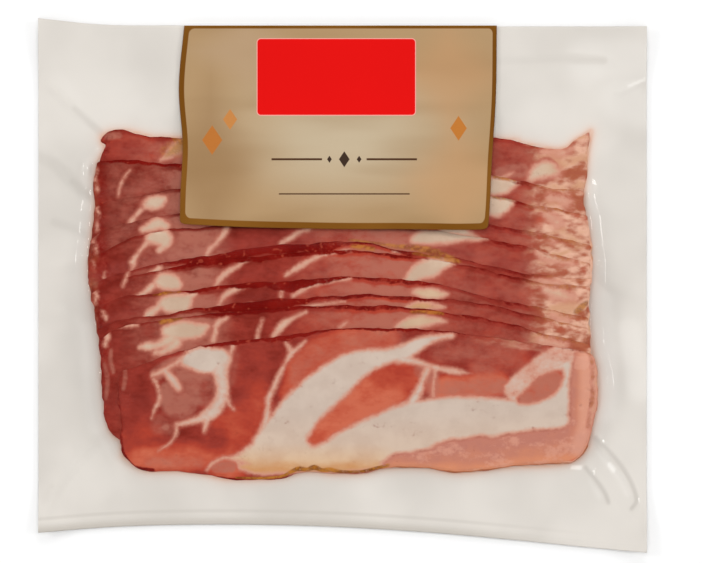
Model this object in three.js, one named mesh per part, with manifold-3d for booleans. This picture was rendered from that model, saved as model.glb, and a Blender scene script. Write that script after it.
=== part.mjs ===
// A flat vacuum pack of sliced smoked bacon, lying on its back with its clear front up.
// Millimetres. +X runs along the slices, +Y points to the labelled edge, +Z comes out of the front.
// The origin is under the middle of the pack, on the surface that it lies on.
//
// The pack is a film pouch: a flat bottom web, a wide sealed margin and a film tent that climbs from the
// margin to the edge of the stack. Eleven thin slices lie in it as a shingle. Slice 11 is the deepest and
// lies nearest the labelled edge. Each further slice lies on the ones before it, a little further down,
// so that only its upper strip shows past the next one, and slice 1 shows whole. A label lies over the
// upper third. The clear film over the slices is only a tenth of a millimetre thick and has no solid.

import * as THREE from "three";
import { mergeVertices } from "three/addons/utils/BufferGeometryUtils.js";
import Module from "manifold-3d";

const wasm = await Module();
wasm.setup();

// The pouch
const PACK_HALF_WIDTH = 102.5;
const TOP_EDGE = 87.3; // Y of the labelled edge
const TOP_LEFT_FLARE = 2.74; // how far its left corner stands above that
const TOP_FLARE_START = 40; // and how far left of the middle the flare starts
const BOTTOM_EDGE = -81.0; // Y of the highest point of the lower edge
const BOTTOM_CREST_X = -50;
const BOTTOM_LEFT_DROP = 2.3;
const BOTTOM_RIGHT_DROP = 9.04;
const WEB = 0.5; // bottom web and sealed margin
const CORNER_CURL = 2.6; // how far the corners of the margin lift
const EDGE_CURL = 0.7; // and the middles of its edges
const FLAT_HALF_WIDTH = 87; // the underside is flat inside these
const FLAT_HALF_HEIGHT = 66;

// The stack
const SLICE = 0.9; // thickness of a slice
const LAYER = 1.1; // rise from one slice to the next
const SLICE_DEPTH = 48.8; // from a slice's lower to its upper edge, at the crown of its arch
const DRAPE = 14; // a slice settles over this distance past the lower edge of the one under it
const FILM_TENT = 6; // the film bridges this far past a slice's upper edge
const LABEL_TENT = 14; // and the stiffer label this far
const END_RAMP = 11; // the film comes down this far past the ends of the stack
const STACK_HALF_LENGTH = 86;
const ARCH_X = 4.2; // where the slices' upper edges are highest
const ARCH_LEFT = 86;
const ARCH_RIGHT = 79;
const ARCH_POWER = 1.45;
const LOWER_BOW = 0.18; // the lower edge is bowed by this share of the upper edge's drop
const CORNER_RADIUS = 6;
const RECESS_CLEARANCE = 0.4;

// Each slice, from the front one back: the height of its upper edge at the crown, how far that edge has
// dropped at its left and right ends, where the ends are, and how far they lean in towards the lower edge.
const SLICES = [
  { crown: -14.0, dropLeft: 12.0, dropRight: 7.7, left: -75.6, right: 85.4, leanLeft: 2.2, leanRight: 5.0 },
  { crown: -6.6, dropLeft: 10.6, dropRight: 13.0, left: -81.3, right: 83.6, leanLeft: 3.4, leanRight: 3.0 },
  { crown: -3.2, dropLeft: 10.1, dropRight: 11.8, left: -82.0, right: 83.0, leanLeft: 2.0, leanRight: 2.0 },
  { crown: 2.9, dropLeft: 9.4, dropRight: 13.8, left: -82.6, right: 82.6, leanLeft: 1.0, leanRight: 1.0 },
  { crown: 12.0, dropLeft: 13.5, dropRight: 11.8, left: -83.7, right: 83.0, leanLeft: 0.6, leanRight: 0.6 },
  { crown: 14.7, dropLeft: 13.8, dropRight: 11.8, left: -84.3, right: 83.3, leanLeft: 0, leanRight: 0 },
  { crown: 20.4, dropLeft: 10.1, dropRight: 12.5, left: -84.9, right: 82.6, leanLeft: 0, leanRight: 0 },
  { crown: 27.1, dropLeft: 10.1, dropRight: 13.5, left: -84.7, right: 83.3, leanLeft: -0.5, leanRight: 0 },
  { crown: 32.8, dropLeft: 7.4, dropRight: 9.1, left: -84.0, right: 82.3, leanLeft: -1.0, leanRight: -0.5 },
  { crown: 41.6, dropLeft: -0.7, dropRight: 8.4, left: -82.6, right: 81.8, leanLeft: -1.5, leanRight: -1.0 },
  { crown: 49.0, dropLeft: -0.9, dropRight: 3.4, left: -81.0, right: 83.4, leanLeft: -2.0, leanRight: -1.0, ear: 6.6 },
];
const EAR_WIDTH = 6; // the deepest slice's upper right corner is drawn out to a point this wide

// The label
const LABEL = 0.3;
const LABEL_GAP = 0.5; // over the highest slice under it, with the clear film between
const LABEL_TOP = 87.6;
const LABEL_BOTTOM = 20.4; // at its lower left corner
const LABEL_SAG = 2.4; // its lower edge hangs this much lower in the middle
const LABEL_LEFT = -53.4;
const LABEL_RIGHT = 52.0;
const LABEL_LEFT_SPLAY = 1.0; // how far each side has moved left at the lower edge
const LABEL_RIGHT_SPLAY = 2.7;
const LABEL_CORNER = 2;

const smooth = (t) => {
  const c = Math.min(1, Math.max(0, t));
  return c * c * (3 - 2 * c);
};
const mix = (a, b, t) => a + (b - a) * t;
// Stations from 0 to 1 that crowd towards both ends, where the corners are round.
const crowded = (i, n) => 0.5 - 0.5 * Math.cos((Math.PI * i) / n);
// How far a round corner of radius r has pulled in at a distance s from the edge.
const cornerInset = (s, r) => (s >= r ? 0 : r - Math.sqrt(r * r - (r - s) ** 2));

// The uneven cut of a slice's long edges, different for each slice.
const wander = (x, number) => 0.45 * Math.sin(x / 8.5 + 2.1 * number) + 0.3 * Math.sin(x / 4.1 + 3.7 * number);

const archDrop = (slice, x) =>
  x < ARCH_X
    ? slice.dropLeft * ((ARCH_X - x) / ARCH_LEFT) ** ARCH_POWER
    : slice.dropRight * ((x - ARCH_X) / ARCH_RIGHT) ** ARCH_POWER;

const upperEdge = (slice, number, x) => {
  const ear = slice.ear ? slice.ear * Math.exp(-(((slice.right - x) / EAR_WIDTH) ** 2)) : 0;
  return slice.crown - archDrop(slice, x) + wander(x, number) + ear;
};
const lowerEdge = (slice, number, x) =>
  slice.crown - SLICE_DEPTH + LOWER_BOW * archDrop(slice, x) + 0.7 * wander(x, number + 0.5);

// How many layers lie under a point, counting the slices from number on. Each fades in over DRAPE above
// its own lower edge less DRAPE and, where tent is given, fades out over tent past its upper edge.
function layersFrom(number, x, y, tent = 0) {
  let layers = 0;
  for (let n = number; n <= SLICES.length; n += 1) {
    const slice = SLICES[n - 1];
    const begun = smooth((y - lowerEdge(slice, n, x)) / DRAPE + 1);
    const ended = tent ? smooth((upperEdge(slice, n, x) - y) / tent + 1) : 1;
    layers += begun * ended;
  }
  return layers;
}

// The tent of film over the stack, as a height above the web. Past the ends it is carried down a ramp.
function tentHeight(x, y, tent) {
  const inside = Math.max(-STACK_HALF_LENGTH, Math.min(STACK_HALF_LENGTH, x));
  const ramp = smooth(1 - Math.abs(x - inside) / END_RAMP);
  return ramp * (LAYER * layersFrom(1, inside, y, tent) + (LAYER - SLICE));
}

// The margin lifts a little off the surface towards its edges, and most at its corners.
function marginLift(x, y) {
  const side = smooth((Math.abs(x) - FLAT_HALF_WIDTH) / (PACK_HALF_WIDTH - FLAT_HALF_WIDTH));
  const end = smooth((Math.abs(y) - FLAT_HALF_HEIGHT) / (TOP_EDGE - FLAT_HALF_HEIGHT));
  return EDGE_CURL * Math.max(side, end) + (CORNER_CURL - EDGE_CURL) * side * end;
}

// A closed sheet between two surfaces over a grid. place(u, v) gives x, y and the two heights.
function sheetGeometry(columns, rows, place, stations = (i, n) => i / n) {
  const positions = [];
  const row = columns + 1;
  const layer = row * (rows + 1);
  for (const side of ["low", "high"]) {
    for (let j = 0; j <= rows; j += 1) {
      for (let i = 0; i <= columns; i += 1) {
        const point = place(i / columns, stations(j, rows));
        positions.push(point.x, point.y, point[side]);
      }
    }
  }
  const faces = [];
  const quad = (a, b, c, d) => faces.push(a, b, c, a, c, d);
  for (let j = 0; j < rows; j += 1) {
    for (let i = 0; i < columns; i += 1) {
      const a = j * row + i;
      quad(a, a + row, a + row + 1, a + 1);
      quad(layer + a, layer + a + 1, layer + a + row + 1, layer + a + row);
    }
  }
  for (let i = 0; i < columns; i += 1) {
    const far = rows * row + i;
    quad(i, i + 1, layer + i + 1, layer + i);
    quad(far + 1, far, layer + far, layer + far + 1);
  }
  for (let j = 0; j < rows; j += 1) {
    const a = j * row;
    const b = a + columns;
    quad(a + row, a, layer + a, layer + a + row);
    quad(b, b + row, layer + b + row, layer + b);
  }
  const geometry = new THREE.BufferGeometry();
  geometry.setAttribute("position", new THREE.Float32BufferAttribute(positions, 3));
  geometry.setIndex(faces);
  geometry.computeVertexNormals();
  return geometry;
}

// A point of a slice, or of its outline grown by some clearance, at u along it and v across it.
function slicePoint(number, u, v, grown = 0) {
  const slice = SLICES[number - 1];
  const depth = SLICE_DEPTH - 0.5 * (slice.dropLeft + slice.dropRight) * (1 - LOWER_BOW);
  const fromEdge = Math.min(v, 1 - v) * depth;
  const inset = cornerInset(fromEdge, slice.ear && v > 0.5 ? 1 : CORNER_RADIUS);
  const left = slice.left - grown + inset + slice.leanLeft * (1 - v);
  const right = slice.right + grown - inset - slice.leanRight * (1 - v);
  const x = mix(left, right, u);
  const y = mix(lowerEdge(slice, number, x) - grown, upperEdge(slice, number, x) + grown, v);
  return { x, y };
}

function sliceGeometry(number) {
  const place = (u, v) => {
    const { x, y } = slicePoint(number, u, v);
    const low = WEB + (LAYER - SLICE) + LAYER * layersFrom(number + 1, x, y);
    return { x, y, low, high: low + SLICE };
  };
  return sheetGeometry(20, 10, place, crowded);
}

// An upright block with a slice's outline, for cutting the room that the slice takes out of the pouch.
function sliceRoom(number) {
  const place = (u, v) => ({ ...slicePoint(number, u, v, RECESS_CLEARANCE), low: WEB, high: 40 });
  return sheetGeometry(20, 10, place, crowded);
}

function topEdge(x) {
  const flare = Math.max(0, (-x - TOP_FLARE_START) / (PACK_HALF_WIDTH - TOP_FLARE_START));
  return TOP_EDGE + TOP_LEFT_FLARE * flare ** 2;
}

function bottomEdge(x) {
  const left = Math.max(0, (BOTTOM_CREST_X - x) / (PACK_HALF_WIDTH + BOTTOM_CREST_X));
  const right = Math.max(0, (x - BOTTOM_CREST_X) / (PACK_HALF_WIDTH - BOTTOM_CREST_X));
  return BOTTOM_EDGE - BOTTOM_LEFT_DROP * left ** 2 - BOTTOM_RIGHT_DROP * right ** 1.6;
}

function solidFrom(geometry) {
  const bare = geometry.clone();
  bare.deleteAttribute("normal");
  const merged = mergeVertices(bare, 1e-4);
  const mesh = new wasm.Mesh({
    numProp: 3,
    vertProperties: merged.attributes.position.array,
    triVerts: new Uint32Array(merged.index.array),
  });
  return new wasm.Manifold(mesh);
}

function geometryFrom(solid) {
  const mesh = solid.getMesh();
  const geometry = new THREE.BufferGeometry();
  geometry.setAttribute("position", new THREE.BufferAttribute(mesh.vertProperties, 3));
  geometry.setIndex(new THREE.BufferAttribute(mesh.triVerts, 1));
  geometry.computeVertexNormals();
  return geometry;
}

// The web, margin and film tent in one piece, with the room for the slices cut out of it.
function pouchGeometry() {
  const place = (u, v) => {
    const x = mix(-PACK_HALF_WIDTH, PACK_HALF_WIDTH, u);
    const y = mix(bottomEdge(x), topEdge(x), v);
    const low = marginLift(x, y);
    return { x, y, low, high: low + WEB + tentHeight(x, y, FILM_TENT) };
  };
  const blank = solidFrom(sheetGeometry(36, 32, place));
  const rooms = SLICES.map((_, i) => solidFrom(sliceRoom(i + 1)));
  const room = wasm.Manifold.union(rooms).asOriginal().simplify(0.02);
  return geometryFrom(blank.subtract(room).asOriginal().simplify(0.01));
}

function labelGeometry() {
  const place = (u, v) => {
    const down = 1 - v;
    const inset = cornerInset(down < 0.5 ? 10 : v * (LABEL_TOP - LABEL_BOTTOM), LABEL_CORNER);
    const left = LABEL_LEFT - LABEL_LEFT_SPLAY * down + inset;
    const right = LABEL_RIGHT - LABEL_RIGHT_SPLAY * down - inset;
    const x = mix(left, right, u);
    const y = mix(LABEL_BOTTOM - LABEL_SAG * Math.sin(Math.PI * (0.15 + 0.75 * u)) + LABEL_SAG * 0.45, LABEL_TOP, v);
    const low = marginLift(x, y) + WEB + LABEL_GAP + tentHeight(x, y, LABEL_TENT);
    return { x, y, low, high: low + LABEL };
  };
  return sheetGeometry(12, 12, place, crowded);
}

const filmMaterial = new THREE.MeshStandardMaterial({ color: 0xdfdad4, roughness: 0.35 });
const labelMaterial = new THREE.MeshStandardMaterial({ color: 0xc69c6e, roughness: 0.45 });
const baconMaterial = (number) => {
  const color = new THREE.Color(0xb4564a).lerp(new THREE.Color(0x8e3a34), (number - 1) / SLICES.length);
  return new THREE.MeshStandardMaterial({ color, roughness: 0.4 });
};

const pack = new THREE.Group();
const addPiece = (name, geometry, material) => {
  const mesh = new THREE.Mesh(geometry, material);
  mesh.name = name;
  pack.add(mesh);
};

addPiece("film_pouch", pouchGeometry(), filmMaterial);
for (let number = 1; number <= SLICES.length; number += 1) {
  const name = "bacon_slice_" + String(number).padStart(2, "0");
  addPiece(name, sliceGeometry(number), baconMaterial(number));
}
addPiece("front_label", labelGeometry(), labelMaterial);

export default pack;
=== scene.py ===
"""A flat vacuum pack of sliced smoked bacon, seen from above.

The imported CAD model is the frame. Its pouch, slices and label are replaced here by finer meshes that lie in
the same places. Sizes are in millimetres until a mesh is made, and metres in Blender. Marks on the meat and
creases in the film are given in pixels of the photograph and turned into millimetres by across() and up().
"""

import bpy
import numpy as np
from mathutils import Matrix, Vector


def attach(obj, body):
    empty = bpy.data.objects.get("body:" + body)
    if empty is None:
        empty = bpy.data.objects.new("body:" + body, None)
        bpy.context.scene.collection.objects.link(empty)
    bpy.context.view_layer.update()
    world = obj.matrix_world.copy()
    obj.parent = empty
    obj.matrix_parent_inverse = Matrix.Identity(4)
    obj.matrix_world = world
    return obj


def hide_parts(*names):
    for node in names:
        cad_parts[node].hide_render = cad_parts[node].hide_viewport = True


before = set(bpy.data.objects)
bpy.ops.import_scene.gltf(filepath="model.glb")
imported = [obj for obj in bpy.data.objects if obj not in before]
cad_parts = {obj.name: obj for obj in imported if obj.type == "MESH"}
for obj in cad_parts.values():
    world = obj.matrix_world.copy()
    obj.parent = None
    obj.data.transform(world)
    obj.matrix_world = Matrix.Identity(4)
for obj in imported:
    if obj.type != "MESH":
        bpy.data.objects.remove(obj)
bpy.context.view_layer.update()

# Scale of the photograph, the pixel over the middle of the pack, and the size of the picture in pixels
PIXEL = 0.3366
MIDDLE = (342.5, 285.5)
PICTURE = (702, 563)

# The pouch, in mm, as in the CAD
PACK_HALF_WIDTH = 102.5
FLAT_HALF_WIDTH = 87.0
FLAT_HALF_HEIGHT = 66.0
TOP_EDGE = 87.3
CORNER_CURL = 2.6
EDGE_CURL = 0.7
WEB = 0.5

# The stack, in mm, as in the CAD
SLICE = 0.9
LAYER = 1.1
DRAPE = 14.0
END_RAMP = 11.0

# A slice's gap to the one below it, its round corners at its lower edge, at its upper edge and at the front
# slice's upper edge, and how wide its rim is rounded: at its sides, and at its upper edge from middle to ends
SLICE_GAP = 0.02
LOWER_CORNER = 6.0
UPPER_CORNER = 0.8
FRONT_UPPER_CORNER = 2.0
RIM_ROUND = 1.5
UPPER_ROUND = (1.9, 3.4)

# How deep fat lies at most where it is thin and pinkish, in mm inside its edge
THIN_DEPTH = 0.65

# The clear film, in mm: how far it tents past an upper edge, and its gaps to the stack and to the web
FILM_TENT = 6.0
FILM_CLEARANCE = 0.12
FILM_GAP = 0.06

# The label, in mm, as in the CAD, but closer to the film, which has no solid there
LABEL = 0.3
LABEL_GAP = 0.32
LABEL_TENT = 14.0
LABEL_CORNER = (-54.4, 19.0)
LABEL_HEIGHT = 68.6
LABEL_CUT = 1.6
LABEL_ROUND = 3.6

# The label's brown border: its width at the left divided by those at the right and at the bottom, and by how
# many mm it is thinner at the top
BORDER_RIGHT = 1.3
BORDER_BOTTOM = 0.85
BORDER_TOP = 0.8

# Grid sizes, as (columns, rows)
FRONT_SLICE_GRID = (330, 110)
SLICE_GRID = (240, 64)
BACK_FILM_GRID = (230, 200)
FRONT_FILM_GRID = (300, 300)
LABEL_GRID = (210, 160)

# Outlines in pixels of the photograph, read at the places where the edge turns
PACK_TOP = ((38, 18), (100, 24), (183, 25), (340, 26), (497, 26), (647, 26))
PACK_BOTTOM = ((38, 533), (120, 527), (200, 525), (340, 527.5), (430, 533), (520, 541), (600, 549),
               (647, 553))
LABEL_LEFT = ((25, 184), (90, 178.5), (150, 182.5), (200, 180.5), (230, 180))
LABEL_RIGHT = ((25, 497), (100, 496), (160, 492), (215, 489), (235, 487))
LABEL_BOTTOM = ((180, 224), (240, 227), (300, 228.5), (350, 229.3), (400, 229.3), (430, 229.6), (460, 230),
                (490, 229.3))
LABEL_ROWS = (229.0, 25.2)

# The first and the last row of the stack, and the rows over which its right side becomes the front slice's
STACK_ROWS = (131, 466)
FRONT_STARTS = (336, 352)

# The two sides of the stack, from its top to its bottom, and the front slice's own sides
LEFT_SIDE = ((128, 103), (136, 101), (143, 101.5), (149, 104), (154, 101), (163, 96.5), (178, 94),
             (200, 95), (250, 90), (270, 89), (290, 91.5), (310, 95.5), (350, 101), (385, 102.5),
             (420, 106.5), (435, 111), (450, 118))
RIGHT_SIDE = ((126, 590), (150, 589), (170, 587), (185, 585), (205, 584), (220, 587.5), (240, 590.5),
              (280, 590.5), (305, 588), (340, 589), (400, 587), (450, 583))
FRONT_LEFT = ((365, 119), (400, 119.5), (442, 120.5), (456, 122), (472, 125))
FRONT_RIGHT = ((340, 588.5), (352, 592.5), (366, 596.5), (390, 598), (406, 597), (422, 593), (437, 589.5),
               (450, 586.5), (470, 583))

# The front slice's lower edge, and each slice's upper edge from the front one back
FRONT_LOWER = ((100, 466), (128, 468), (146, 471.5), (180, 471.5), (205, 475), (228, 480), (264, 480),
               (284, 478), (299, 473.5), (314, 472.5), (332, 474.5), (362, 473.5), (386, 468.5),
               (424, 469), (455, 473), (482, 471), (505, 468), (566, 464), (600, 462))
UPPER = (
    ((110, 376), (130, 369), (150, 362), (170, 354), (190, 348), (223, 342.5), (260, 338.5), (300, 333),
     (355, 328), (400, 328), (440, 331), (500, 338), (540, 345), (575, 349), (598, 356)),
    ((98, 342), (112, 332), (130, 325), (160, 320), (205, 315), (240, 311), (300, 307), (355, 305),
     (400, 307), (440, 311), (500, 322), (540, 332), (592, 345)),
    ((98, 330), (112, 322), (160, 316), (205, 307), (240, 303), (300, 298), (355, 295), (400, 296),
     (440, 299), (500, 307), (540, 317), (592, 330)),
    ((96, 308), (112, 301), (160, 293), (205, 288), (240, 284), (300, 280), (355, 277), (400, 279),
     (440, 285), (500, 300), (540, 308), (592, 318)),
    ((92, 294), (112, 283), (160, 270), (205, 262), (240, 258), (300, 253), (355, 250), (400, 256),
     (440, 260.5), (470, 266), (500, 274), (540, 282), (592, 287)),
    ((90, 286), (112, 276), (160, 264), (205, 256), (240, 250), (300, 244), (355, 242), (400, 250),
     (440, 256), (470, 261.5), (500, 268), (540, 275), (592, 280)),
    ((88, 260), (112, 247), (160, 231), (205, 227), (240, 226), (355, 225), (440, 232), (500, 241),
     (540, 251), (592, 263)),
    ((88, 240), (112, 228), (160, 216), (240, 208), (355, 205), (440, 215), (500, 227), (540, 233),
     (592, 246)),
    ((90, 208), (112, 200), (140, 196), (165, 191), (240, 185), (355, 184), (440, 190), (500, 197),
     (540, 206), (592, 216)),
    ((92, 162), (112, 160), (160, 163), (240, 164), (355, 165), (440, 170), (500, 176), (540, 186),
     (592, 191)),
    ((98, 141), (103, 136), (110, 131.5), (126, 130.5), (138, 133), (150, 136), (170, 137), (350, 138),
     (500, 138.5), (522, 142.5), (550, 148), (561, 148.5), (568, 146), (576, 139.5), (584, 135),
     (592, 131)),
)

# The pixel column where the upper edges are highest, and from there to the lower edge, in pixels
CROWN = 355.0
SLICE_DEPTH = 145.0

# Over how many mm strokes that meet are joined
JOIN = 0.9

# Fat in each slice, as strokes of (pixel across, pixel down, half width in pixels)
FAT = {
    1: (
        ((186, 361, 6), (194, 359, 11), (205, 359.5, 14), (219, 360, 12)),
        ((220, 357, 9), (221, 372, 7.5), (223, 387, 6), (221.5, 399, 6.5), (213, 411, 7), (202, 418, 4.5),
         (189, 422, 2.4), (177, 425, 1.5)),
        ((226, 398, 3), (230, 405, 1.5), (234, 410, 0.6)),
        ((181, 360, 3), (171, 366, 1.7), (159, 373, 1.6), (153, 376, 1.8), (158, 386, 1.5),
         (160, 398, 1.7), (155, 409, 1), (152, 418, 0.6)),
        ((166, 371, 2.6), (173, 379, 4.2), (179, 388, 3)),
        ((208, 418, 4), (204, 431, 1.4)),
        ((177, 425, 1), (176, 433, 0.5), (170, 443, 0.2), (158, 451, -0.2)),
        ((234, 344, 1.6), (231, 354, 1.6), (228, 364, 1.4)),
        ((286, 342, 1.2), (291, 352, 2.2), (284, 366, 1.8), (275, 384, 2), (269, 398, 2.6),
         (267.5, 414, 3.2), (264, 428, 3)),
        ((306, 341, 0.6), (299, 347, 1.4), (292, 353, 2)),
        ((262, 452, 14), (279, 437, 20), (292, 423, 22), (303, 408, 21), (317, 395, 20.5),
         (333, 382, 19.5), (346, 371, 17), (363, 362, 13), (386, 356, 8), (404, 352, 8.5), (416, 345, 7),
         (430, 339, 4.5), (452, 335, 2)),
        ((232, 458, 1.5), (244, 457, 6.5), (262, 456, 13), (310, 457, 16), (350, 456, 15), (388, 450, 14),
         (404, 447, 12)),
        ((288, 440, 8), (306, 441.5, 8)),
        ((242, 467, 4), (262, 467, 9), (300, 463, 10), (340, 464, 10), (376, 461, 9)),
        ((207, 470, 0.6), (213, 463, 0.9), (224, 458, 1.1), (234, 459, 1.4), (240, 464, 2)),
        ((332, 448, 14), (360, 437, 15), (400, 430, 25), (440, 424, 27), (480, 420, 24), (520, 420, 21),
         (545, 418, 22), (562, 408, 17), (568, 388, 10), (569, 372, 9), (564, 354, 11)),
        ((400, 358, 5), (414, 361, 3), (424, 364, 2.4), (434, 367, 2.4), (448, 370.5, 3),
         (460, 372.5, 2.4), (471, 375, 0.8)),
        ((413, 400, 5), (418, 392, 4.5), (422, 381, 3.6), (427, 370, 3)),
        ((433, 396, 1.2), (433.5, 382, 1), (436, 370, 2)),
        ((511, 389, 7), (519, 380, 7), (532, 370, 8), (545, 361, 8.5), (558, 354, 9), (570, 350, 8)),
        ((514, 394, 8), (530, 390, 14), (553, 377, 17)),
        ((486, 357, 0.8), (498, 358, 1.1), (506, 356, 0.7)),
    ),
    2: (
        ((168, 331, 6), (181, 330, 9.5), (198, 330, 8), (207, 326, 3)),
        ((172, 339, 5), (160, 345, 4.5), (148, 346, 4), (141, 347, 2)),
        ((177, 343, 5), (165, 351, 3.5), (156, 353, 2.5)),
        ((213.5, 341, 2.2), (216, 331, 1.8), (218, 323, 2.4), (228, 317.5, 1.4)),
        ((274, 335.5, 2.2), (280, 328, 3.4), (286, 322, 2.6), (295, 317, 1.2), (306, 312.5, 0.7)),
        ((257, 342, 0.8), (259, 331, 0.9), (263, 320, 0.8)),
        ((396, 327, 2), (408, 323.5, 6), (421, 321, 6.5), (432, 320.5, 4.5), (446, 321.5, 0.8)),
        ((113, 326, 0.8), (124, 325.5, 0.9), (138, 325, 0.6)),
        ((540, 340, 3), (552, 343, 3.4), (563, 345, 2)),
        ((347, 322, 1), (340, 327, 1.3)),
        ((103, 330, 1.2), (108, 336, 2), (106, 345, 1.6)),
    ),
    3: (
        ((302, 307, 0.3), (314, 305.5, 0.4), (330, 303.5, 0.2), (345, 301.5, 0)),
        ((406, 307.5, 2), (417, 306, 5), (429, 306.5, 4.5), (444, 307, 0.8)),
        ((232, 310, 1), (241, 307, 0.8)),
    ),
    4: (
        ((163, 303, 5.5), (172, 303.5, 10), (183, 303, 9.5), (190, 297, 4), (197, 294, 1.5)),
        ((146, 320, 2.5), (150, 314, 4), (157, 309, 3.5), (161, 305, 3)),
        ((104, 312, 0.8), (107, 318, 1.3)),
        ((219.5, 305.5, 1.8), (222, 300, 2), (228, 293.5, 2.4), (238, 289, 1.5), (252, 283, 0.8)),
        ((294, 295.5, 1.6), (303, 290, 2.2), (312, 285.5, 1.8), (330, 281.5, 1), (350, 279, 0.8)),
        ((249, 306, 1.4), (252, 305, 1.6)),
        ((414, 292, 3), (424, 293, 6), (434, 294, 5.5), (447, 294, 1.2)),
        ((552, 318, 2.4), (566, 319, 2)),
        ((282, 290, 0.9), (281, 297, 0.7)),
    ),
    5: (
        ((158, 281, 4), (165, 281, 9), (172, 282, 9), (178, 285, 5)),
        ((132, 300, 1.5), (138, 298, 2.6), (145, 293, 2.4), (153, 286, 3)),
        ((95, 290, 0.6), (97, 296, 1.2), (96, 303, 0.7)),
        ((126, 279, 0.7), (123, 287, 0)),
        ((216, 285.5, 1.8), (221, 278, 2.2), (228, 272, 2.4), (238, 266, 1.6), (249, 258, 0.8)),
        ((286, 275.5, 1.5), (296, 269, 2.2), (307, 262.5, 2.4), (318, 257, 1.6), (334, 253, 1.1),
         (350, 250, 1)),
        ((404, 281, 2), (412, 277, 6.5), (420, 271, 9), (430, 268, 10.5), (440, 264, 7.5), (452, 262, 3)),
        ((545, 290, 3), (552, 292, 5.5), (562, 296, 5), (570, 298, 3)),
    ),
    6: (
        ((330, 253, 0.2), (342, 250.5, 0.3), (352, 249, 0.2)),
        ((150, 274, 1.6), (160, 268, 2.2)),
        ((129, 271, 0.9), (126, 281, 0.7)),
        ((393, 251.5, 0.8), (399, 252, 1.2)),
        ((430, 259, 1.5), (442, 260, 2), (452, 261, 1.5)),
        ((540, 281, 2), (556, 283, 1.5)),
    ),
    7: (
        ((150, 238, 5), (156, 237, 8), (163, 238, 8.5), (166, 242, 6), (160, 250, 3)),
        ((148, 243, 2.4), (142, 249, 1.6), (136, 257, 1.5), (133, 262, 2.6)),
        ((135, 264, 1.4), (132, 270, 1), (128, 279, 1)),
        ((94, 262, 0.6), (96, 268, 1)),
        ((106, 270, 0.6), (104, 279, 0.8)),
        ((204.5, 259, 1.8), (210, 249, 1.6), (216, 243, 1.8), (223, 235, 2.2), (227, 229, 1.8)),
        ((281, 244, 1.4), (290, 238, 1.6), (300, 232, 2), (310, 228.5, 2)),
        ((414, 240, 4), (424, 237, 8), (442, 236, 8.5), (462, 236, 6), (476, 238, 3), (486, 238, 1)),
        ((538, 252, 2.5), (546, 256, 5), (558, 259, 5.5), (569, 260, 3.5)),
    ),
    8: (
        ((143, 230, 3), (150, 227, 5), (158, 223, 6.5), (166, 226, 4.5)),
        ((95, 233, 0.9), (97, 229, 0.7)),
        ((93, 243, 0.9), (96, 247, 1.4), (97, 252, 0.8)),
        ((444, 230, 5), (460, 231, 5), (471, 235, 2.6), (479, 238, 0.6)),
        ((543, 226, 4), (549, 232, 4.5), (552, 240, 3)),
    ),
    9: (
        ((145, 204, 3.5), (151, 203, 6.5), (159, 202, 6.5), (164, 199, 3)),
        ((141, 210, 1.4), (136, 216, 1.6), (131, 222, 2.4)),
        ((97, 209, 0.9), (98, 214, 1.5)),
        ((96, 224, 0.8), (97, 228, 1.3)),
        ((494, 206, 11), (501, 207, 8.5), (507, 201, 7), (511, 197, 4)),
        ((544, 212, 3), (551, 217, 4), (557, 223, 4)),
    ),
    10: (
        ((130, 170, -0.2), (124, 177, 0), (120, 186, 0.2), (118, 196, 0.1)),
        ((96, 170, 0.6), (95, 179, 0.9), (97, 190, 0.6)),
        ((494, 186, 9.5), (505, 185, 8), (515, 183, 4)),
        ((551, 197, 4), (560, 200, 4), (568, 203, 3)),
    ),
    11: (
        ((160, 160, 1), (166, 156, 3), (174, 150, 6), (184, 144, 8)),
        ((531, 178, 4), (538, 172, 8), (547, 169, 9), (556, 171, 6)),
        ((542, 151, 0.8), (552, 152.5, 1.5), (562, 153, 2), (570, 149, 1.2)),
        ((494, 178, 1.5), (505, 176.5, 1.4), (513, 173, 0.5)),
    ),
}

# Islands of lean meat inside the fat of the front slice
LEAN = (
    ((314, 440, 5.5), (322, 433, 8), (334, 422, 11), (348, 412, 13), (363, 402, 15), (380, 388, 17),
     (393, 379, 15), (403, 376, 12), (408, 377, 8.5)),
    ((424, 354, 1.5), (432, 352, 5), (446, 351, 9), (462, 350, 12), (485, 350, 15), (510, 350, 12),
     (530, 349, 7), (546, 349, 2)),
    ((442, 384, 6.5), (450, 384, 9.5), (462, 384, 10.5), (480, 382, 11), (495, 379, 10), (503, 372, 7)),
    ((470, 362, 8), (492, 364, 12), (510, 360, 9), (526, 354, 6)),
    ((521, 399, 3.5), (528, 396, 7), (537, 391, 10), (547, 384, 10.5), (555, 377, 7), (559, 373, 3.5)),
    ((211, 471, 3), (220, 467, 6), (230, 468, 6), (236, 473, 3)),
)

# The soft pink strip along the front slice's lower right and right rim
PINK = (
    ((388, 466, 5), (400, 467, 13), (420, 468, 16.5), (434, 466, 17), (446, 459, 17), (454, 457, 17)),
    ((463, 458, 17), (470, 455, 16.5), (481, 453, 16.5), (488, 456, 17)),
    ((497, 456, 18), (508, 452, 17), (530, 449, 17.5), (560, 446, 17), (575, 442, 15)),
    ((584, 440, 14), (586, 415, 16), (588, 385, 18), (591, 356, 17)),
    ((574, 436, 12.5), (577, 437, 12)),
)

# Smoked fat along the front slice's right rim, and where its fat is thin and pinkish, with how much of it
GOLDEN_RIM = ((592, 350, 2.5), (595, 362, 3), (596, 392, 3), (593, 410, 2.6), (590, 424, 1.6))
THIN_FAT = (
    (1, 1.5, ((511, 389, 6), (532, 370, 7), (558, 354, 9), (570, 350, 8))),
    (0.6, 3, ((223, 368, 5), (223, 387, 6), (221, 400, 7), (208, 414, 7))),
)

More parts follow.
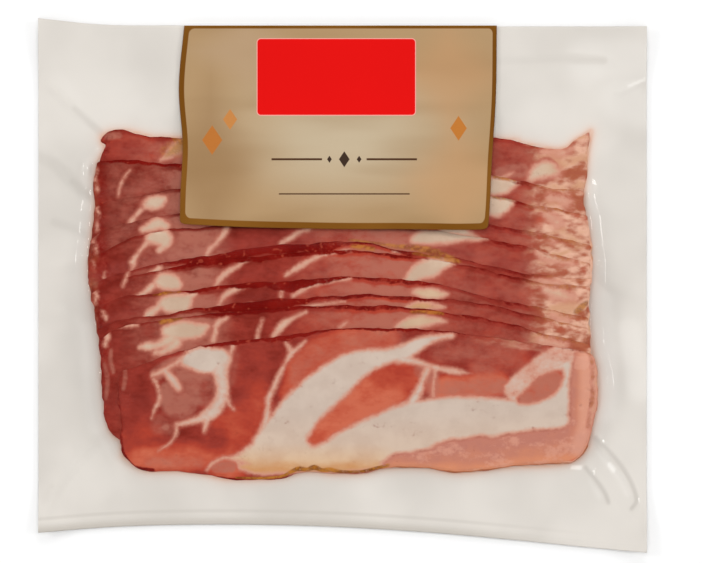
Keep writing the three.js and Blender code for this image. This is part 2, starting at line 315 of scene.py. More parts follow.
# A dark smoked band along each slice's upper edge, as (pixel across, width in pixels)
BAND = (
    ((110, -1), (160, -0.5), (200, 1), (230, 4), (300, 3.5), (330, 1.8), (355, 2.2), (420, 2.2),
     (470, 0.5), (545, 0.5), (590, 1)),
    ((110, -1), (160, -1), (200, 0), (215, 3), (260, 3), (330, 3.5), (390, 4), (430, 2.2), (480, 2.5),
     (540, 3), (590, 3)),
    ((110, -1), (170, 0), (200, 3), (235, 7), (262, 14), (290, 13), (305, 5.5), (350, 3.5), (400, 4),
     (440, 1.5), (520, 2.5), (590, 3)),
    ((110, -1), (175, 0.5), (190, 2), (240, 5), (262, 8), (320, 6), (345, 3.5), (400, 4.2), (430, 2.5),
     (450, 0.5), (520, 3), (590, 3)),
    ((110, -1), (160, 0), (190, 4), (215, 6), (240, 5), (300, 4), (330, 5), (352, 2.5), (375, 1.5),
     (395, 3.5), (412, 3), (430, 0.5), (480, 2), (540, 4), (590, 3)),
    ((110, -1), (160, 1), (190, 7), (215, 8), (250, 8), (270, 10), (330, 8), (350, 3.5), (372, 2),
     (388, 2.5), (400, 3.6), (412, 4.4), (424, 2.5), (440, 1), (500, 3), (590, 2)),
    ((110, -1), (160, 0), (400, -1), (476, -1), (492, 2.5), (500, 3), (545, 4), (590, 3)),
    ((110, -1), (140, 0), (160, 0), (490, 3), (510, 5), (545, 4), (590, 3)),
    ((110, -1), (150, 0), (180, 1), (490, 1), (520, 3), (545, 4), (590, 3)),
    ((100, 1), (130, 4), (160, 4), (185, 3), (490, 1), (520, 4), (560, 4), (590, 2)),
    ((100, 0), (120, 0), (150, 1), (185, 1), (495, 1), (530, 1), (550, -1), (592, -1)),
)

# Golden rind, as strokes for each slice
RIND = {
    1: (((236, 478, 0.3), (258, 478.5, 0.6), (280, 477, 0.7), (290, 472.5, 1.2), (299, 469, 1.9),
         (307, 470, 1.4), (314, 467.5, 2), (322, 470.5, 1.4), (330, 470, 1.8), (342, 472, 1),
         (362, 471.5, 0.8), (376, 468.5, 1.2), (388, 465.5, 1)),),
    2: (((163, 321, 2.2), (171, 319, 2.8), (182, 317, 1)),
        ((412, 312, 0.8), (428, 312, 1), (442, 313, 0.8))),
    4: (((156, 294, 1), (168, 292.5, 1.2), (180, 291, 0.8)),),
    5: (((575, 312, 1.2), (581, 307, 2.2), (586, 303, 1.4)),),
    6: (((414, 253.5, 0.6), (430, 255.5, 1.2), (440, 257, 1.6), (450, 259.5, 1.8), (458, 261.5, 1)),
        ((353, 246, 0.8), (363, 247.5, 1.4), (374, 249, 0.8))),
    7: (((350, 240, -0.1), (362, 241.5, 0.3), (380, 244, 0.3), (400, 246.5, 1), (412, 247.5, 1.8),
         (424, 249.5, 2.5), (436, 252.5, 2.6), (446, 256.5, 2), (454, 259.5, 0.9)),),
    9: (((494, 197, 0.8), (516, 199, 0.8)),),
    10: (((495, 177, 0.6), (515, 180, 0.6)),),
    11: (((174, 138, 1.5), (181, 142, 2)),),
}

# How warm the smoke has tinted the fat right of the middle in slices 2 to 4
WARM_FAT = {2: 0.7, 3: 0.95, 4: 0.75}

# Lean along the strips, as (pixel across, share): how bright it is, and how much pale fat is in it
TONE = ((90, 0.26), (140, 0.27), (190, 0.31), (240, 0.3), (265, 0.28), (290, 0.36), (320, 0.46),
        (350, 0.55), (400, 0.6), (430, 0.46), (460, 0.4), (500, 0.38), (530, 0.41), (541, 0.4),
        (556, 0.46), (577, 0.4), (592, 0.49))
HAZE = ((90, 0.1), (120, 0.2), (140, 0.35), (165, 0.5), (190, 0.8), (215, 0.6), (240, 0.1), (265, 0),
        (290, 0.2), (320, 0.4), (350, 0.55), (400, 0.8), (430, 0.5), (460, 0.35), (500, 0.34), (530, 0.4),
        (560, 0.4), (600, 0.4))

# The same for the front slice, as (share, blur in mm, stroke, stroke...), painted over one another
FRONT_TONE = (
    (0.4, 3, ((182, 402, 14), (196, 394, 14))),
    (0.4, 4, ((250, 350, 12), (250, 392, 12))),
    (0.66, 6, ((224, 446, 3), (242, 438, 6), (252, 420, 8), (258, 400, 3)),
     ((222, 424, 4), (240, 420, 6))),
    (0.88, 6, ((140, 458, 6), (180, 459, 6), (205, 457, 4)), ((222, 466, 6), (230, 468, 6))),
    (0.4, 4, ((206, 440, 4), (218, 441, 4))),
    (0.5, 4, ((128, 438, 4), (156, 434, 4))),
    (0.8, 4, ((288, 392, 3), (305, 364, 9), (340, 344, 10), (385, 338, 8))),
    (0.96, 6, ((318, 436, 8), (362, 404, 16), (384, 394, 16))),
    (0.78, 3, ((309, 441, 2), (317, 437, 4))),
    (0.68, 5, ((384, 374, 6), (404, 371, 8), (416, 380, 6))),
    (0.44, 8, ((430, 352, 5), (445, 350, 8), (500, 346, 9), (540, 346, 6))),
    (0.56, 5, ((478, 368, 3), (500, 366, 4), (520, 358, 3))),
    (0.95, 3, ((440, 388, 7), (470, 387, 8), (498, 384, 7))),
    (0.92, 3, ((530, 394, 9), (552, 380, 8))),
    (0, 3, ((400, 446, 5), (455, 442, 5), (490, 440, 5), (560, 432, 5)), ((570, 368, 1), (570, 420, 1))),
    (0.95, 3, ((395, 468, 1), (440, 470, 2), (480, 470, 2), (530, 463, 2), (575, 460, 2))),
    (0.6, 3, ((586, 354, 2), (586, 420, 2))),
)
FRONT_HAZE = (
    (0.62, 3, ((180, 402, 14), (188, 390, 14), (202, 388, 12))),
    (0.4, 2.5, ((207, 386, 3), (208, 402, 3))),
    (0.75, 2.5, ((158, 373, 3), (178, 364, 4), (184, 374, 3)), ((168, 388, 3), (163, 400, 2))),
    (0.45, 4, ((160, 425, 4), (170, 427, 3))),
    (0.9, 1.2, ((165, 427, 0.8), (166, 427, 1))),
    (0.35, 3, ((232, 352, 5), (228, 380, 4))),
    (0.42, 3, ((150, 462, 2), (200, 462, 2))),
    (0.7, 1.5, ((216, 468, 3), (230, 467, 4))),
    (0.4, 4, ((296, 378, 2), (308, 358, 6), (345, 342, 6), (395, 338, 6))),
    (0.7, 3, ((420, 370, 2), (431, 378, 3), (433, 390, 3))),
    (0.62, 3, ((450, 389, 5), (500, 385, 5))),
    (0.75, 2, ((527, 397, 6), (536, 391, 9), (552, 380, 7))),
    (0.42, 5, ((440, 350, 5), (515, 350, 6)), ((480, 366, 4), (515, 362, 4))),
    (0.55, 1.2, ((124, 364, 0.4), (126, 376, 0.8), (124, 388, 0.5))),
    (0.8, 3, ((587, 352, 3), (586, 420, 3), (578, 448, 3))),
)

# The same for the streaky meat at the right, over what TONE gives, and for the last slice's ends
RIGHT_TONE = (
    (0.42, 3, ((576, 157, 4), (578, 163, 4)), ((566, 184, 4), (580, 184, 4)),
     ((532, 198, 4), (543, 206, 4))),
    (0.4, 3, ((531, 237, 4), (541, 246, 5)), ((540, 286, 4), (542, 290, 4))),
    (0.7, 3, ((544, 222, 3), (560, 216, 4), (577, 222, 5), (589, 226, 4)), ((566, 262, 4), (590, 266, 5))),
    (0.66, 3, ((590, 270, 3), (590, 300, 3)), ((566, 289, 4), (574, 291, 4))),
    (0.62, 3, ((552, 327, 4), (566, 328, 4), (590, 326, 3))),
)
LAST_TONE = ((0.44, 4, ((104, 146, 8), (180, 150, 8)), ((498, 158, 12), (530, 160, 12))),)

# Smoked places on the front slice's rim, pale places on two slices, and a tinge of rind and a place without
# streaks on the last one, painted likewise
FRONT_DARK = (
    (1, 0.9, ((121, 446, 0.3), (125, 458, 1), (134, 468, 1.2), (152, 470.5, 0.8)),
     ((212, 478, 0.5), (228, 480, 0.8), (242, 480, 0.5))),
    (0.6, 1, ((118, 395, 0.4), (120, 425, 1), (121, 446, 0.8))),
    (0.5, 1.2, ((590, 356, 0.4), (592, 368, 1), (592, 382, 0.5), (592, 396, 0.8), (590, 410, 0.6),
                (588, 426, 1))),
)
PALE = {
    2: ((0.6, 1.2, ((105, 364, 0.5), (108, 380, 0.9), (106, 398, 0.6)),
         ((112, 350, 0.4), (111, 360, 0.8), (114, 372, 0.4))),),
    11: ((0.7, 2, ((500, 172, 3), (522, 170, 5)), ((107, 136, 1), (118, 135, 1))),
         (0.5, 2, ((152, 149, 2), (160, 150, 4)))),
}
LAST_RIND = ((0.4, 2, ((166, 151, 3), (178, 147, 7))),)
LAST_PLAIN = ((0.8, 2, ((534, 174, 6), (548, 169, 9))),)

# Creases in the film: how high each is in mm, its half width in pixels, and its path in pixels
CREASES = (
    (0.4, 4, ((43, 80), (55, 91), (70, 106), (98, 128))),
    (0.3, 5, ((46, 152), (64, 167), (77, 185), (90, 197))),
    (0.3, 4, ((50, 218), (68, 226), (88, 239))),
    (0.2, 6, ((41, 274), (64, 264), (88, 263))),
    (0.2, 6, ((44, 306), (70, 314), (94, 330))),
    (0.4, 4, ((45, 520), (53, 498), (68, 475), (86, 453), (112, 433))),
    (0.8, 3.6, ((590, 430), (605, 449), (620, 468), (631, 486), (637, 502), (628, 512))),
    (0.42, 4, ((582, 462), (595, 480), (604, 493), (610, 506))),
    (0.25, 5, ((505, 60), (560, 58.5), (622, 60))),
    (0.6, 3, ((612, 98), (630, 87), (646, 79))),
    (0.25, 7, ((592, 270), (618, 288), (645, 297))),
    (1, 2.4, ((90, 156), (87, 168), (90, 180))),
    (1.3, 2.6, ((584, 178), (588, 196), (588, 214))),
    (0.15, 5, ((250, 520), (243, 500), (240, 482))),
)

# Over how many pixels a crease fades in from both ends. The films are smooth over the stack: within this half
# width and half height round this place, and creases fade in over so many mm past it. The web's creases are
# this share of the clear film's, and its underside has them where it has lifted off the floor, in mm.
CREASE_FADE = 14.0
SMOOTH_HALF = (80.0, 50.0)
SMOOTH_PLACE = (0.0, -5.0)
SMOOTH_FADE = 6.0
WEB_CREASE = 0.8
WEB_LIFTED = (0.05, 0.35)

# How light the margin is painted, from 0 to 1, painted likewise: painted shade along the film's creases and
# near its lower edge, painted glints on the creases, and painted light at the upper right and where the stack
# shades the margin
PAINTED_MARGIN_SHADE_AND_LIGHT = (
    (0.72, 9, ((590, 60, 12), (640, 60, 10)), ((622, 95, 12), (640, 110, 8))),
    (0.72, 5, ((602, 285, 4), (606, 350, 6), (606, 410, 6)), ((630, 330, 6), (640, 390, 6))),
    (0.66, 5, ((88, 330, 3), (92, 380, 5), (98, 425, 5))),
    (0.62, 3, ((58, 78, 4), (74, 100, 5))),
    (0.32, 2.8, ((38, 157, 3), (52, 163, 3), (66, 175, 4), (79, 189, 4), (88, 196, 3))),
    (0.22, 1.6, ((72, 181, 1), (80, 189, 1.8), (88, 196, 1))),
    (0.42, 1.8, ((38, 84, 2), (56, 94, 2), (72, 107, 2), (86, 119, 2))),
    (0.28, 1.8, ((74, 108, 0.4), (86, 119, 1), (92, 125, 1.6), (99, 131, 2))),
    (0.32, 2.2, ((54, 222, 2), (68, 226, 2), (86, 235, 2))),
    (0.42, 5, ((50, 264, 5), (84, 266, 5))),
    (0.4, 2, ((56, 492, 2), (64, 476, 2), (78, 458, 2), (92, 444, 2), (104, 437, 1.5)),
     ((45, 500, 2), (52, 488, 2))),
    (0.38, 7, ((120, 503, 5), (180, 500, 8), (250, 502, 8), (350, 506, 6))),
    (0.38, 1.6, ((500, 61, 2), (560, 58, 2.5), (604, 60, 0.6))),
    (0.42, 2.5, ((596, 270, 2), (614, 286, 3), (642, 300, 3))),
    (0.68, 2.2, ((600, 452, 0.5), (612, 468, 1.6), (622, 480, 1.4), (628, 494, 0.8)),
     ((592, 482, 0.4), (600, 496, 1))),
    (1, 0.9, ((610, 465, 0.8), (614, 470, 1.2))),
    (0.2, 1.3,
     ((596, 438, 0.4), (608, 450, 0.8), (622, 467, 1), (632, 484, 1), (637, 500, 0.8), (632, 509, 0.4)),
     ((586, 468, 0.5), (596, 480, 0.9), (605, 493, 1), (609, 503, 0.6))),
    (1, 0.9, ((573, 468, 1), (580, 468, 1.4))),
    (0.9, 0.8, ((629, 86, 0.1), (638, 82, 0.3), (645, 79, 0.2))),
)

# What is printed on the label, as (centre, half size) in units of 100 mm and a colour: faint patches, small
# diamonds, thin rules and one plain field. The darkest patch, at the lower left, is painted shade, not print
PRINT_PATCHES_AND_SHADE = (
    ((0.10, 0.20), (0.12, 0.24), "8F6D48"), ((0.22, 0.60), (0.14, 0.10), "B3977A"),
    ((0.90, 0.52), (0.14, 0.14), "BD9066"), ((0.93, 0.16), (0.14, 0.16), "BE9268"),
)
DIAMONDS = (
    ((0.105, 0.30), (0.034, 0.050), "B36D2F"), ((0.165, 0.37), (0.024, 0.035), "BE7E42"),
    ((0.935, 0.34), (0.028, 0.042), "B8722F"), ((0.55, 0.235), (0.018, 0.027), "3A2A20"),
    ((0.50, 0.235), (0.008, 0.012), "3A2A20"), ((0.60, 0.235), (0.008, 0.012), "3A2A20"),
)
RULES = (
    ((0.39, 0.235), (0.085, 0.0035), "4A2E1B"), ((0.71, 0.235), (0.085, 0.0035), "4A2E1B"),
    ((0.55, 0.118), (0.22, 0.0022), "4A2E1B"),
)
FIELD = ((0.523, 0.513), (0.266, 0.128))


def across(px):
    """A pixel column of the photograph to mm right of the pack's middle."""
    return (px - MIDDLE[0]) * PIXEL


def up(py):
    """A pixel row of the photograph to mm above the pack's middle."""
    return (MIDDLE[1] - py) * PIXEL


def column_at(x):
    """The pixel column at x in mm: the inverse of across()."""
    return x / PIXEL + MIDDLE[0]


def row_at(y):
    """The pixel row at y in mm: the inverse of up()."""
    return MIDDLE[1] - y / PIXEL


def smooth(t):
    """0 below 0 and 1 above 1, with an S-shaped rise between: 3 t squared minus 2 t cubed."""
    t = np.clip(t, 0.0, 1.0)
    return t * t * (3.0 - 2.0 * t)


def rise(value, start, end):
    """0 at start and 1 at end, with an S-shaped rise between. The end may lie below the start."""
    return smooth((value - start) / (end - start))


def mix(a, b, t):
    """a where t is 0, b where t is 1, and a straight line between."""
    return a + (b - a) * t


def curve(at, points):
    """A smooth curve through points, as (place, value). Between two points it is the cubic that passes
    through both with the mean slope of the chords at each. Past the ends it runs straight on."""
    place, value = np.array(points, float).T
    slope = np.gradient(value, place)
    i = np.clip(np.searchsorted(place, at) - 1, 0, len(place) - 2)
    gap = place[i + 1] - place[i]
    t = np.clip((at - place[i]) / gap, 0.0, 1.0)
    inside = (
        (1 + 2 * t) * (1 - t) ** 2 * value[i] + t * (1 - t) ** 2 * gap * slope[i]
        + t * t * (3 - 2 * t) * value[i + 1] + t * t * (t - 1) * gap * slope[i + 1]
    )
    before = np.minimum(at - place[0], 0.0) * slope[0]
    after = np.maximum(at - place[-1], 0.0) * slope[-1]
    return inside + before + after


def wander(x, seed, size=1.0):
    """A slow, uneven wave along x in mm: three sines whose phases depend on the seed."""
    waves = ((0.30, 5.3, 2.1), (0.22, 2.3, 3.7), (0.10, 0.9, 5.9))
    return size * sum(height * np.sin(x / length + phase * seed) for height, length, phase in waves)


def upper_edge(number, x):
    """Y in mm of a slice's upper edge at x in mm: the curve through its read points, plus a small wander."""
    edge = up(curve(column_at(x), UPPER[number - 1]))
    return edge + wander(x, number, 0.6) + wander(2.2 * x, number + 5, 0.35)


def lower_edge(number, x):
    """Y in mm of a slice's lower edge. Where it doesn't show, it is the upper edge's middle height less the
    slice's depth, bowed by a fifth of what the upper edge drops."""
    px = column_at(x)
    if number == 1:
        return up(curve(px, FRONT_LOWER)) + wander(x, 31, 0.5)
    crown = curve(np.array(CROWN), UPPER[number - 1])
    row = crown + SLICE_DEPTH - 0.2 * (curve(px, UPPER[number - 1]) - crown)
    return up(row) + wander(x, number + 20, 0.8)


def layers_from(number, x, y, tent=0.0):
    """How many slices lie under a point, counting from number on. Each one fades in over DRAPE below its own
    lower edge and, where tent is given, fades out over tent past its upper edge."""
    layers = np.zeros_like(x)
    for n in range(number, len(UPPER) + 1):
        layer = smooth((y - lower_edge(n, x)) / DRAPE + 1)
        if tent:
            layer = layer * smooth((upper_edge(n, x) - y) / tent + 1)
        layers += layer
    return layers


def tent_height(x, y, tent):
    """Height of the skin over the stack above the web: one layer for each slice under it, carried down a ramp
    past the sides of the stack. The ramp is steep at first: an S-shaped fall to the sixth power. It starts at
    an uneven line just outside the sides."""
    row = np.clip(row_at(y), *STACK_ROWS)
    left = across(curve(row, LEFT_SIDE))
    right = across(mix(curve(row, RIGHT_SIDE), curve(row, FRONT_RIGHT), rise(row, *FRONT_STARTS)))
    inside = np.clip(x, left - 0.5 + wander(y, 12, 0.8), right + 0.5 + wander(y, 13, 0.8))
    ramp = smooth(1 - np.abs(x - inside) / END_RAMP) ** 6
    return ramp * (LAYER * layers_from(1, inside, y, tent) + (LAYER - SLICE))


def margin_lift(x, y):
    """How far the sealed margin lifts off the floor: a little at its edges and more at its corners."""
    side = rise(np.abs(x), FLAT_HALF_WIDTH, PACK_HALF_WIDTH)
    end = rise(np.abs(y), FLAT_HALF_HEIGHT, TOP_EDGE)
    return EDGE_CURL * np.maximum(side, end) + (CORNER_CURL - EDGE_CURL) * side * end


def corner_inset(s, radius):
    """How far a round corner has pulled in at a distance s from the edge."""
    s = np.clip(s, 0.0, radius)
    return radius - np.sqrt(np.maximum(radius**2 - (radius - s) ** 2, 0.0))


def stroke(x, y, path):
    """Signed distance in mm from points to a brush stroke, negative inside it. path lists pixels of the
    photograph and the stroke's half width there. A smooth curve runs through them, cut into short straight
    pieces along which the half width changes evenly."""
    spots = np.array(path, float)
    steps = np.arange(len(spots))
    finer = np.linspace(0, steps[-1], 4 * steps[-1] + 1) if len(spots) > 2 else steps
    spots = np.stack([curve(finer, tuple(zip(steps, spots[:, k]))) for k in range(3)], axis=-1)
    sx, sy, radius = across(spots[:, 0]), up(spots[:, 1]), spots[:, 2] * PIXEL
    nearest = np.hypot(x - sx[0], y - sy[0]) - radius[0]
    for i in range(len(spots) - 1):
        dx, dy = sx[i + 1] - sx[i], sy[i + 1] - sy[i]
        along = np.clip(((x - sx[i]) * dx + (y - sy[i]) * dy) / (dx * dx + dy * dy), 0.0, 1.0)
        away = np.hypot(x - sx[i] - along * dx, y - sy[i] - along * dy)
        nearest = np.minimum(nearest, away - mix(radius[i], radius[i + 1], along))
    return nearest


def strokes(x, y, paths):
    """Signed distance in mm to the nearest of several strokes. Where two meet, the corner between them is
    filled over JOIN mm. Without any stroke it is far outside."""
    nearest = np.full_like(x, 50.0)
    for path in paths:
        other = stroke(x, y, path)
        share = np.clip(0.5 + 0.5 * (other - nearest) / JOIN, 0.0, 1.0)
        nearest = mix(other, nearest, share) - JOIN * share * (1 - share)
    return nearest


def line(path):
    """A path of pixels as a stroke without width."""
    return [(*spot, 0.0) for spot in path]


def soft(x, y, paths, blur):
    """1 inside the strokes, falling to 0 at blur mm outside them."""
    return smooth(1 - strokes(x, y, paths) / blur)


def painted(x, y, start, layers):
    """A share that begins at start and is painted over by layers of soft strokes, each with its own share."""
    share = np.broadcast_to(start, x.shape)
    for target, blur, *paths in layers:
        share = mix(share, target, soft(x, y, paths, blur))
    return share


def raised(x, y, start, layers):
    """A share that begins at start and is nowhere less than what the layers of soft strokes give."""
    for target, blur, *paths in layers:
        start = np.maximum(start, target * soft(x, y, paths, blur))
    return start


def stack_outline():
    """The stack's outline as a closed path of pixels: up its left side, along its top, down its right side
    and back along the front slice's lower edge."""
    left = [(px, row) for row, px in (*LEFT_SIDE[1:-2], (430, 109.5), (437, 115), *FRONT_LEFT[2:4])]
    right = [(px, row) for row, px in (*RIGHT_SIDE[1:-3], *FRONT_RIGHT[1:-1])]
    return left[::-1] + list(UPPER[-1][2:]) + right + list(FRONT_LOWER[-2:1:-1]) + [(131, 464), left[-1]]


def front_marks(x, y, fat, dark, from_upper, from_rim):
    """The marks that only the front slice has, over the fat and the smoked edge that every slice has. Lean
    islands and the pink rim cut into the fat, which is warm along the lower edge and at the right rim."""
    px, py = column_at(x), row_at(y)
    from_pink = strokes(x, y, PINK)
    fat = np.maximum(np.maximum(fat, -strokes(x, y, LEAN)), -from_pink)
    fat = np.minimum(fat, strokes(x, y, (GOLDEN_RIM,)))
    fat = mix(fat, np.maximum(fat, -THIN_DEPTH), raised(x, y, 0.0, THIN_FAT))
    warm = np.maximum(rise(py, 430, 472) * rise(px, 430, 370), 0.25 * rise(py, 405, 455))
    mottle = 0.6 * rise(px, 560, 590) * rise(py, 372, 348)
    rim_width = mix(1.6, 3.2, rise(px, 575, 583))
    mottle = np.maximum(mottle, smooth(rim_width - from_rim) * rise(px, 370, 390))
    mottle = np.maximum(mottle, 0.34 * rise(from_upper, 3.8, 1.8) * rise(px, 455, 480))
    dark_width = mix(0.15, 0.5, rise(px, 385, 397) * rise(px, 592, 584)) * (1 + wander(x, 3, 0.9))
    dark_rim = smooth((dark_width - from_rim) / 0.5 + 0.5) * mix(0.1, 0.7, rise(px, 380, 400))
    return {
        "fat": fat, "tone": painted(x, y, 0.33, FRONT_TONE), "haze": painted(x, y, 0.06, FRONT_HAZE),
        "warm": np.maximum(warm, rise(px, 583, 587)), "pink": smooth(0.5 - from_pink / 1.2), "mottle": mottle,
        "dark": raised(x, y, np.maximum(dark, dark_rim), FRONT_DARK),
    }


def slice_marks(number, x, y, from_upper, from_rim):
    """The marks on a slice's skin. fat is a signed distance in mm. The others run from 0 to 1: tone for
    bright lean, haze for lean with fat in it, warm for fat that smoke has tinted, pink for the soft fatty
    rim, mottle for the streaky ends, dark for the smoked edge and rind for its golden crust."""
    px, py = column_at(x), row_at(y)
    fat = strokes(x, y, FAT[number])
    rind = soft(x, y, RIND.get(number, ()), 0.4 if number == 1 else 0.7)
    band = curve(px, BAND[number - 1]) * PIXEL * (1 + 0.5 * wander(x, number + 7, 1.6))
    mottle = np.maximum(rise(px, 508, 564), 0.3 * rise(px, 104, 95))
    dark = smooth((band - from_upper) / mix(1.1, 2.6, mottle) + 0.5)
    if number == 1:
        marks = front_marks(x, y, fat, dark, from_upper, from_rim)
    else:
        tone = curve(px, TONE) + 0.08 * smooth(from_upper / 4.0) - 0.03
        haze = curve(px, HAZE) * smooth((from_upper - band) / 1.5)
        warm = 0.4 + 0.3 * rise(px, 530, 570)
        if number in WARM_FAT:
            warm = mix(warm, WARM_FAT[number], rise(px, 395, 410) * rise(px, 462, 450))
        dark = np.maximum(dark, 0.2 * smooth(1.0 - from_rim))
        dark = dark * mix(1.0, 0.82, rise(px, 300, 340)) * mix(1.0, 0.8, rise(px, 425, 465))
        marks = {
            "fat": fat, "tone": painted(x, y, tone, RIGHT_TONE),
            "haze": raised(x, y, haze, PALE.get(number, ())), "warm": warm, "pink": np.zeros_like(x),
            "mottle": mottle,
            "dark": np.maximum(dark, 0.42 * rise(px, 120, 104)),
        }
        rind = 0.75 * rind
    if number in (8, 9, 10):
        left_end = rise(px, 190, 170)
        marks["haze"] = np.maximum(marks["haze"], 0.36 * left_end * rise(px, 92, 112))
        marks["tone"] = marks["tone"] - 0.06 * left_end
    if number == 11:
        ear = rise(py, 160, 146) * rise(px, 552, 564)
        marks["tone"] = mix(painted(x, y, marks["tone"], LAST_TONE), 0.58, ear)
        marks["haze"] = mix(marks["haze"], 0.7, ear)
        marks["warm"] = mix(marks["warm"], 1.0, rise(px, 200, 180))
        plain = raised(x, y, 0.0, LAST_PLAIN)
        marks["mottle"] = mottle * (1 - plain) * (1 - 0.35 * rise(py, 156, 142) * rise(px, 556, 566))
        rind = raised(x, y, rind, LAST_RIND)
    marks["fat"] = marks["fat"] / (1 + 1.2 * marks["mottle"])
    marks["dark"] = marks["dark"] * (1 - 0.85 * rind)
    for share in ("tone", "haze"):
        marks[share] = np.clip(marks[share], 0, 1)
    return {**marks, "rind": rind}


def grid_mesh(name, x, y, z, attributes=None, under=None):
    """A mesh over a grid of points in mm. With under, a second sheet with those heights is added and the two
    are joined round their border, so that the piece is closed."""
    count = x.size
    index = np.arange(count).reshape(x.shape)
    top = np.stack((index[:-1, :-1], index[:-1, 1:], index[1:, 1:], index[1:, :-1]), axis=-1).reshape(-1, 4)
    faces, sheets = [top], [z]
    if under is not None:
        sheets.append(under)
        border = np.concatenate((index[0, :-1], index[:-1, -1], index[-1, :0:-1], index[:0:-1, 0]))
        after = np.roll(border, -1)
        faces += [top[:, ::-1] + count, np.stack((after, border, border + count, after + count), axis=-1)]
    faces = np.concatenate(faces)
    vertices = np.concatenate([np.stack((x, y, sheet), axis=-1).reshape(-1, 3) for sheet in sheets])
    mesh = bpy.data.meshes.new(name)
    mesh.vertices.add(len(vertices))
    mesh.vertices.foreach_set("co", (vertices * 0.001).astype(np.float32).ravel())
    mesh.loops.add(faces.size)
    mesh.loops.foreach_set("vertex_index", faces.ravel().astype(np.int32))
    mesh.polygons.add(len(faces))
    mesh.polygons.foreach_set("loop_start", np.arange(0, faces.size, 4, dtype=np.int32))
    mesh.update(calc_edges=True)
    mesh.validate()
    for key, values in (attributes or {}).items():
        values = np.tile(values.ravel(), len(sheets)).astype(np.float32)
        mesh.attributes.new(key, "FLOAT", "POINT").data.foreach_set("value", values)
    mesh.shade_smooth()
    return placed(bpy.data.objects.new(name, mesh))


def placed(thing):
    """Links an object into the scene."""
    bpy.context.scene.collection.objects.link(thing)
    return thing


def crowded(count, strength):
    """Stations from 0 to 1 that crowd towards both ends: a mix of even steps and half a cosine."""
    even = np.linspace(0.0, 1.0, count + 1)
    return mix(even, 0.5 - 0.5 * np.cos(np.pi * even), strength)


def shares(size, strengths):
    """How far across and how far up each point of a grid is, from 0 to 1. strengths says how much the columns
    and the rows crowd towards the edges."""
    u, v = (crowded(count, strength) for count, strength in zip(size, strengths))
    return np.meshgrid(u, v)


def slice_sheet(number):
    """One slice as a closed sheet. Across it v runs from its lower to its upper edge, along it u from its
    left to its right side, with round corners. It drapes over the slices below it, and its rim is rounded."""
    front = number == 1
    u, v = shares(FRONT_SLICE_GRID if front else SLICE_GRID, (0.5, 0.75))
    sides = []
    for side, outward in zip((FRONT_LEFT, FRONT_RIGHT) if front else (LEFT_SIDE, RIGHT_SIDE), (-1.0, 1.0)):
        end = np.array(across(side[4][1]))
        low, high = lower_edge(number, end), upper_edge(number, end)
        y = mix(low, high, v)
        ragged = wander(y, number + 40 + 3 * outward, 1.0) + wander(2.3 * y, number + 60, 0.5)
        radius = np.where(v < 0.5, LOWER_CORNER, FRONT_UPPER_CORNER if front else UPPER_CORNER)
        inset = corner_inset(np.minimum(v, 1 - v) * (high - low), radius)
        sides.append(across(curve(row_at(y), side)) + ragged - outward * inset)
    x = mix(*sides, u)
    low, high = lower_edge(number, x), upper_edge(number, x)
    y = mix(low, high, v)
    from_upper = high - y
    from_rim = np.minimum(np.minimum(x - sides[0], sides[1] - x), y - low)
    upper_round = mix(*UPPER_ROUND, smooth(np.abs(x) / 60 - 0.7))
    flat = np.sin(np.pi / 2 * np.clip(np.minimum(from_rim / RIM_ROUND, from_upper / upper_round), 0.0, 1.0))
    bottom = WEB + SLICE_GAP + LAYER * layers_from(number + 1, x, y)
    top = bottom + (LAYER - SLICE_GAP) * mix(0.04, 1.0, flat)
    marks = slice_marks(number, x, y, from_upper, from_rim)
    return grid_mesh(f"sliced_bacon_{number:02d}", x, y, top, marks, bottom)


def creases(x, y):
    """Height in mm of the film's creases. Each is a bell-shaped ridge along its path: its height times e to
    the minus square of the distance over the half width. It fades in from both ends, and past the stack."""
    height = np.zeros_like(x)
    px, py = column_at(x), row_at(y)
    for tall, wide, path in CREASES:
        away = stroke(x, y, line(path)) / (wide * PIXEL)
        ends = np.minimum(*(np.hypot(px - spot[0], py - spot[1]) for spot in (path[0], path[-1])))
        height += tall * smooth(ends / CREASE_FADE) * np.exp(-(away**2))
    past = [np.maximum(np.abs(place - middle) - half, 0)
            for place, middle, half in zip((x, y), SMOOTH_PLACE, SMOOTH_HALF)]
    return height * smooth(np.hypot(*past) / SMOOTH_FADE)


def pack_grid(size):
    """Points over the whole pouch from its lower to its upper edge, and how far each is from the lower."""
    u, v = shares(size, (0.7, 0.3))
    x = mix(-PACK_HALF_WIDTH, PACK_HALF_WIDTH, u)
    low, high = (up(curve(column_at(x), edge)) for edge in (PACK_BOTTOM, PACK_TOP))
    y = mix(low, high, v)
    return x, y, y - low


def make_films():
    """The milky web that the pack lies on, and the clear film that is sealed to its margin and drawn tight
    over the stack."""
    x, y, from_bottom = pack_grid(BACK_FILM_GRID)
    lift, wrinkle = margin_lift(x, y), WEB_CREASE * creases(x, y)
    # Painted light and shade on the margin, and a reddish tint near the stack: partly the meat's juice,
    # partly painted light spilled from the meat
    marks = {"from_bottom": from_bottom, "light": painted(x, y, 0.5, PAINTED_MARGIN_SHADE_AND_LIGHT),
             "juice_and_spilled_light": np.exp(-stroke(x, y, line(stack_outline())))}
    under = lift + wrinkle * rise(lift, *WEB_LIFTED)
    back = grid_mesh("back_film", x, y, lift + WEB + wrinkle, marks, under)

    x, y, from_bottom = pack_grid(FRONT_FILM_GRID)
    height = tent_height(x, y, FILM_TENT)
    z = margin_lift(x, y) + WEB + FILM_GAP + height + np.minimum(height, FILM_CLEARANCE) + creases(x, y)
    return back, grid_mesh("front_film", x, y, z, {"from_bottom": from_bottom})


